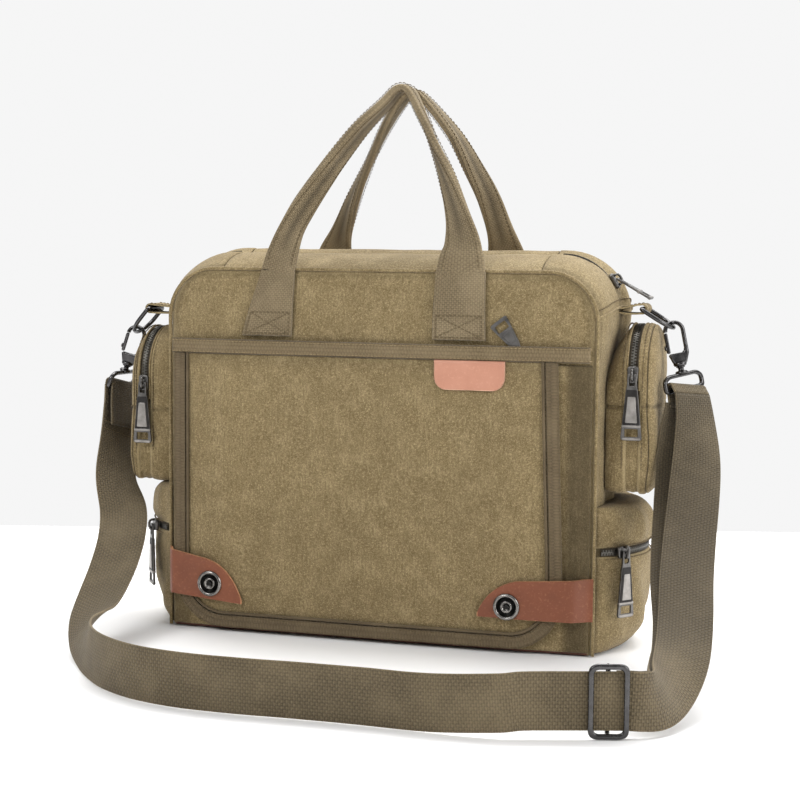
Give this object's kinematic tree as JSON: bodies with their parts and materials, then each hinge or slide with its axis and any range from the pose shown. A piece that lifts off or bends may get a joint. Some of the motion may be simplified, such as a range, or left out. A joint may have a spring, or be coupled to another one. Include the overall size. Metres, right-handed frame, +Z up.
{
  "type": "messenger bag",
  "caption": "Olive canvas messenger bag with a zipped domed top, carry handles, a front flap with leather snap tabs, zipped side pockets and an adjustable shoulder strap.",
  "frame": {"origin": "middle of the bottom face, where the bag rests", "axes": "+X to the right of the front face, -Y out of the front face, +Z up"},
  "size_m": [0.5215, 0.3515, 0.4319],
  "materials": {
    "canvas": "washed, matt, slightly mottled",
    "webbing": "ribbed weave, matt",
    "handle_webbing": "ribbed weave, matt",
    "band_webbing": "ribbed weave, matt, darker",
    "binding": "grosgrain, matt",
    "zip_tape": "woven tape with metal teeth",
    "zip_metal": "gunmetal, satin",
    "hardware": "gunmetal, polished",
    "snap_metal": "antique nickel, polished",
    "leather": "waxed, satin, pale cut edges",
    "tag_leather": "plain, satin",
    "board": "matt"
  },
  "bodies": {
    "bag": {"front_panel": "canvas", "back_panel": "canvas", "gusset_left": "canvas", "gusset_right": "canvas", "bottom_panel": "canvas", "base_board": "board", "front_band": "band_webbing", "front_pocket": "canvas", "handle_patch_front_left": "webbing", "handle_patch_front_right": "webbing", "handle_patch_rear_left": "webbing", "handle_patch_rear_right": "webbing", "strap_main": "webbing", "strap_return": "webbing", "upper_pocket_left": "canvas", "upper_pocket_right": "canvas", "upper_zip_left": "zip_tape", "upper_zip_right": "zip_tape", "lower_pocket_left": "canvas", "lower_pocket_right": "canvas", "lower_zip_left": "zip_tape", "lower_zip_right": "zip_tape", "ring_tab_left": "canvas", "ring_tab_right": "canvas", "strap_ring_left": "hardware", "strap_ring_right": "hardware"},
    "mouth_front": {"top_strip_front": "canvas", "main_zip_front": "zip_tape"},
    "mouth_rear": {"top_strip_rear": "canvas", "main_zip_rear": "zip_tape"},
    "front_handle": {"handle_front": "handle_webbing"},
    "rear_handle": {"handle_rear": "handle_webbing"},
    "flap": {"flap_panel": "canvas", "flap_binding": "binding", "leather_tag": "tag_leather", "snap_stud_left": "snap_metal", "snap_stud_right": "snap_metal"},
    "tab_left": {"leather_tab_left": "leather", "snap_cap_left": "snap_metal"},
    "tab_right": {"leather_tab_right": "leather", "snap_cap_right": "snap_metal"},
    "adjuster": {"strap_adjuster": "hardware"},
    "main_slider": {"main_zip_slider": "zip_metal"},
    "main_pull": {"main_zip_pull": "zip_metal"},
    "front_slider": {"front_zip_slider": "zip_metal"},
    "front_pull": {"front_zip_pull": "zip_metal"},
    "upper_slider_right": {"upper_zip_right_slider": "zip_metal"},
    "upper_pull_right": {"upper_zip_right_pull": "zip_metal"},
    "upper_slider_left": {"upper_zip_left_slider": "zip_metal"},
    "upper_pull_left": {"upper_zip_left_pull": "zip_metal"},
    "lower_slider_right": {"lower_zip_right_slider": "zip_metal"},
    "lower_pull_right": {"lower_zip_right_pull": "zip_metal"},
    "lower_slider_left": {"lower_zip_left_slider": "zip_metal"},
    "lower_pull_left": {"lower_zip_left_pull": "zip_metal"},
    "ring_right": {"d_ring_right": "hardware"},
    "snap_hook_right": {"hook_right": "hardware"},
    "gate_right": {"hook_gate_right": "hardware"},
    "ring_left": {"d_ring_left": "hardware"},
    "snap_hook_left": {"hook_left": "hardware"},
    "gate_left": {"hook_gate_left": "hardware"}
  },
  "joints": [
    {"name": "mouth_front_fold", "type": "hinge", "parent": "bag", "child": "mouth_front", "pos_m": [0, -0.0544, 0.288], "axis": [1, 0, 0], "range_deg": [0, 40]},
    {"name": "mouth_rear_fold", "type": "hinge", "parent": "bag", "child": "mouth_rear", "pos_m": [0, 0.0544, 0.288], "axis": [-1, 0, 0], "range_deg": [0, 40]},
    {"name": "front_handle_fold", "type": "hinge", "parent": "bag", "child": "front_handle", "pos_m": [0, -0.0594, 0.288], "axis": [1, 0, 0], "range_deg": [0, 130]},
    {"name": "rear_handle_fold", "type": "hinge", "parent": "bag", "child": "rear_handle", "pos_m": [0, 0.0594, 0.288], "axis": [-1, 0, 0], "range_deg": [0, 130]},
    {"name": "flap_lift", "type": "hinge", "parent": "bag", "child": "flap", "pos_m": [0, -0.061, 0.221], "axis": [-1, 0, 0], "range_deg": [0, 8.2]},
    {"name": "tab_left_swing", "type": "hinge", "parent": "bag", "child": "tab_left", "pos_m": [-0.1725, -0.0643, 0.045], "axis": [0, 0, -1], "range_deg": [0, 90.5]},
    {"name": "tab_right_swing", "type": "hinge", "parent": "bag", "child": "tab_right", "pos_m": [0.1725, -0.0643, 0.045], "axis": [0, 0, 1], "range_deg": [0, 90.5]},
    {"name": "main_slider_run", "type": "hinge", "parent": "bag", "child": "main_slider", "pos_m": [0.134, 0, 0.257], "axis": [0, -1, 0], "range_deg": [0, 45]},
    {"name": "main_pull_swing", "type": "hinge", "parent": "main_slider", "child": "main_pull", "pos_m": [0.17669, 0, 0.28265], "axis": [0, -1, 0], "range_deg": [0, 60]},
    {"name": "front_slider_run", "type": "slide", "parent": "bag", "child": "front_slider", "axis": [1, 0, 0], "range_m": [0, 0.03]},
    {"name": "front_pull_swing", "type": "hinge", "parent": "front_slider", "child": "front_pull", "pos_m": [0.113, -0.0586, 0.2315], "axis": [0, 1, 0], "range_deg": [0, 60]},
    {"name": "upper_slider_right_run", "type": "hinge", "parent": "bag", "child": "upper_slider_right", "pos_m": [0.1955, 0, 0.213], "axis": [-1, 0, 0], "range_deg": [0, 50]},
    {"name": "upper_pull_right_swing", "type": "hinge", "parent": "upper_slider_right", "child": "upper_pull_right", "pos_m": [0.1955, -0.0402, 0.212], "axis": [-1, 0, 0], "range_deg": [0, 90]},
    {"name": "upper_slider_left_run", "type": "slide", "parent": "bag", "child": "upper_slider_left", "axis": [0, 0, 1], "range_m": [0, 0.01]},
    {"name": "upper_pull_left_swing", "type": "hinge", "parent": "upper_slider_left", "child": "upper_pull_left", "pos_m": [-0.2045, -0.0402, 0.194], "axis": [-1, 0, 0], "range_deg": [0, 90]},
    {"name": "lower_slider_right_run", "type": "hinge", "parent": "bag", "child": "lower_slider_right", "pos_m": [0.13763, 0, 0.079], "axis": [0, 0, 1], "range_deg": [0, 70]},
    {"name": "lower_pull_right_swing", "type": "hinge", "parent": "lower_slider_right", "child": "lower_pull_right", "pos_m": [0.19442, -0.04437, 0.079], "axis": [-0.6157, -0.788, 0], "range_deg": [0, 80]},
    {"name": "lower_slider_left_run", "type": "hinge", "parent": "bag", "child": "lower_slider_left", "pos_m": [-0.13763, 0, 0.079], "axis": [0, 0, -1], "range_deg": [0, 70]},
    {"name": "lower_pull_left_swing", "type": "hinge", "parent": "lower_slider_left", "child": "lower_pull_left", "pos_m": [-0.19442, -0.04437, 0.079], "axis": [-0.6157, 0.788, 0], "range_deg": [0, 45]},
    {"name": "ring_right_swing", "type": "hinge", "parent": "bag", "child": "ring_right", "pos_m": [0.198, -0.005, 0.2605], "axis": [0, 1, 0], "range_deg": [0, 5.5]},
    {"name": "hook_right_swivel", "type": "hinge", "parent": "bag", "child": "snap_hook_right", "pos_m": [0.22605, -0.005, 0.21896], "axis": [-0.2038, 0, 0.979], "range_deg": [-12, 4]},
    {"name": "gate_right_open", "type": "hinge", "parent": "snap_hook_right", "child": "gate_right", "pos_m": [0.21748, -0.00695, 0.2279], "axis": [-0.279, 0.9585, -0.0581], "range_deg": [0, 16], "stiffness_Nm_per_rad": 0.02, "springref_deg": -11.46},
    {"name": "ring_left_swing", "type": "hinge", "parent": "bag", "child": "ring_left", "pos_m": [-0.209, -0.005, 0.254], "axis": [0, -1, 0], "range_deg": [0, 3.5]},
    {"name": "hook_left_swivel", "type": "hinge", "parent": "bag", "child": "snap_hook_left", "pos_m": [-0.23497, -0.005, 0.20715], "axis": [0.3213, 0, 0.947], "range_deg": [-12, 4]},
    {"name": "gate_left_open", "type": "hinge", "parent": "snap_hook_left", "child": "gate_left", "pos_m": [-0.23783, -0.00689, 0.21921], "axis": [-0.2617, 0.9611, 0.0888], "range_deg": [0, 16], "stiffness_Nm_per_rad": 0.02, "springref_deg": -11.46},
    {"name": "adjuster_run", "type": "slide", "parent": "bag", "child": "adjuster", "axis": [-0.952, -0.306, 0], "range_m": [0, 0.026]}
  ],
  "couplings": [
    {"joint": "tab_left_swing", "follows": "flap_lift", "ratio": 11},
    {"joint": "tab_right_swing", "follows": "flap_lift", "ratio": 11}
  ]
}
